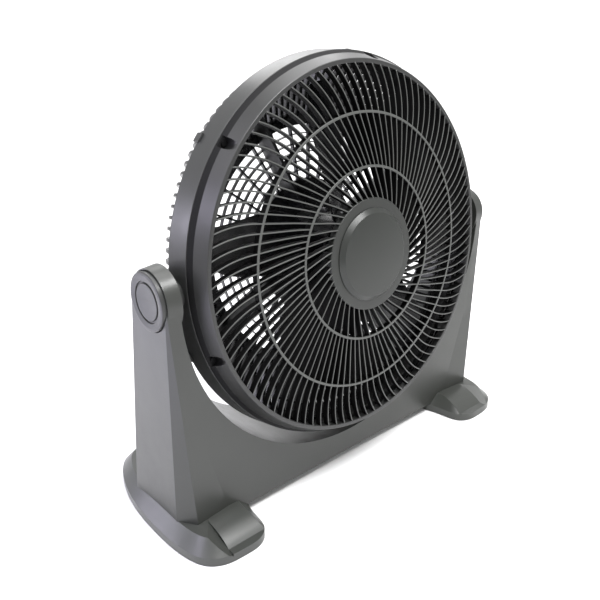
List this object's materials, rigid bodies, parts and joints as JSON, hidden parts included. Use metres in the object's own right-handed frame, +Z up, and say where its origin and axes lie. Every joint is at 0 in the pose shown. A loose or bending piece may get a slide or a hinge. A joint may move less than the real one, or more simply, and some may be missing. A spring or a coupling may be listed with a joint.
{
  "type": "floor_fan",
  "caption": "Round drum floor fan with a swirled front grille, tilting between the pillars of a low U-shaped stand on two flat feet",
  "frame": {"origin": "On the floor under the middle of the whole fan's bounding box.", "axes": "+X runs along the tilt pivot to the viewer's right, the fan blows towards -Y, +Z is up."},
  "size_m": [0.645, 0.2868, 0.6094],
  "materials": {
    "stand_plastic": "satin moulded charcoal",
    "drum_plastic": "satin moulded charcoal",
    "grille_plastic": "satin moulded dark grey",
    "cap_plastic": "fine satin dark grey",
    "knob_plastic": "satin moulded charcoal",
    "blade_plastic": "smooth black",
    "black_plastic": "matte black",
    "nylon": "natural nylon",
    "pad_rubber": "matte",
    "screw_steel": "zinc plated",
    "shaft_steel": "ground steel",
    "motor_case": "zinc plated sheet",
    "core_steel": "stacked sheets",
    "winding_copper": "enamelled copper",
    "bearing_bronze": "sintered bronze"
  },
  "bodies": {
    "stand": {"stand_yoke": "stand_plastic", "right_rear_cover": "stand_plastic", "panel_rear_cover": "stand_plastic", "left_rear_cover": "stand_plastic", "yoke_cover_screws": "screw_steel", "right_foot": "stand_plastic", "left_foot": "stand_plastic", "foot_pads": "pad_rubber", "foot_screws": "screw_steel", "right_pivot_bush": "nylon", "left_pivot_bush": "nylon", "friction_washers": "black_plastic"},
    "rotor": {"fan_wheel": "blade_plastic", "motor_shaft": "shaft_steel", "rotor_core": "core_steel", "drive_pin": "shaft_steel", "thrust_washers": "shaft_steel", "fan_nut": "black_plastic"},
    "right_knob": {"right_tilt_knob": "knob_plastic", "right_knob_stud": "shaft_steel"},
    "left_knob": {"left_tilt_knob": "knob_plastic", "left_knob_stud": "shaft_steel"},
    "speed_dial": {"speed_knob": "black_plastic"},
    "head": {"drum": "drum_plastic", "front_grille": "grille_plastic", "grille_cap": "cap_plastic", "grille_screws": "screw_steel", "rear_grille": "black_plastic", "rear_clips": "drum_plastic", "right_trunnion": "shaft_steel", "left_trunnion": "shaft_steel", "trunnion_screws": "screw_steel", "motor_rear_shell": "motor_case", "motor_front_shell": "motor_case", "motor_bolts": "screw_steel", "motor_screws": "screw_steel", "stator_core": "core_steel", "stator_windings": "winding_copper", "rear_bearing": "bearing_bronze", "front_bearing": "bearing_bronze", "rear_motor_cover": "black_plastic", "rear_cover_screws": "screw_steel", "run_capacitor": "black_plastic", "speed_switch": "black_plastic", "cord_gland": "black_plastic"}
  },
  "joints": [
    {"name": "head_tilt", "type": "hinge", "parent": "stand", "child": "head", "pos_m": [0, -0.03625, 0.34], "axis": [-1, 0, 0], "range_deg": [-36, 84]},
    {"name": "fan_spin", "type": "hinge", "parent": "head", "child": "rotor", "pos_m": [0, -0.03625, 0.34], "axis": [0, -0.9942, 0.108], "continuous": true},
    {"name": "right_knob_turn", "type": "hinge", "parent": "head", "child": "right_knob", "pos_m": [0, -0.03625, 0.34], "axis": [1, 0, 0], "range_deg": [0, 270]},
    {"name": "left_knob_turn", "type": "hinge", "parent": "head", "child": "left_knob", "pos_m": [0, -0.03625, 0.34], "axis": [-1, 0, 0], "range_deg": [0, 270]},
    {"name": "speed_turn", "type": "hinge", "parent": "head", "child": "speed_dial", "pos_m": [0, -0.03625, 0.34], "axis": [0, 0.9942, -0.108], "range_deg": [0, 120]}
  ]
}
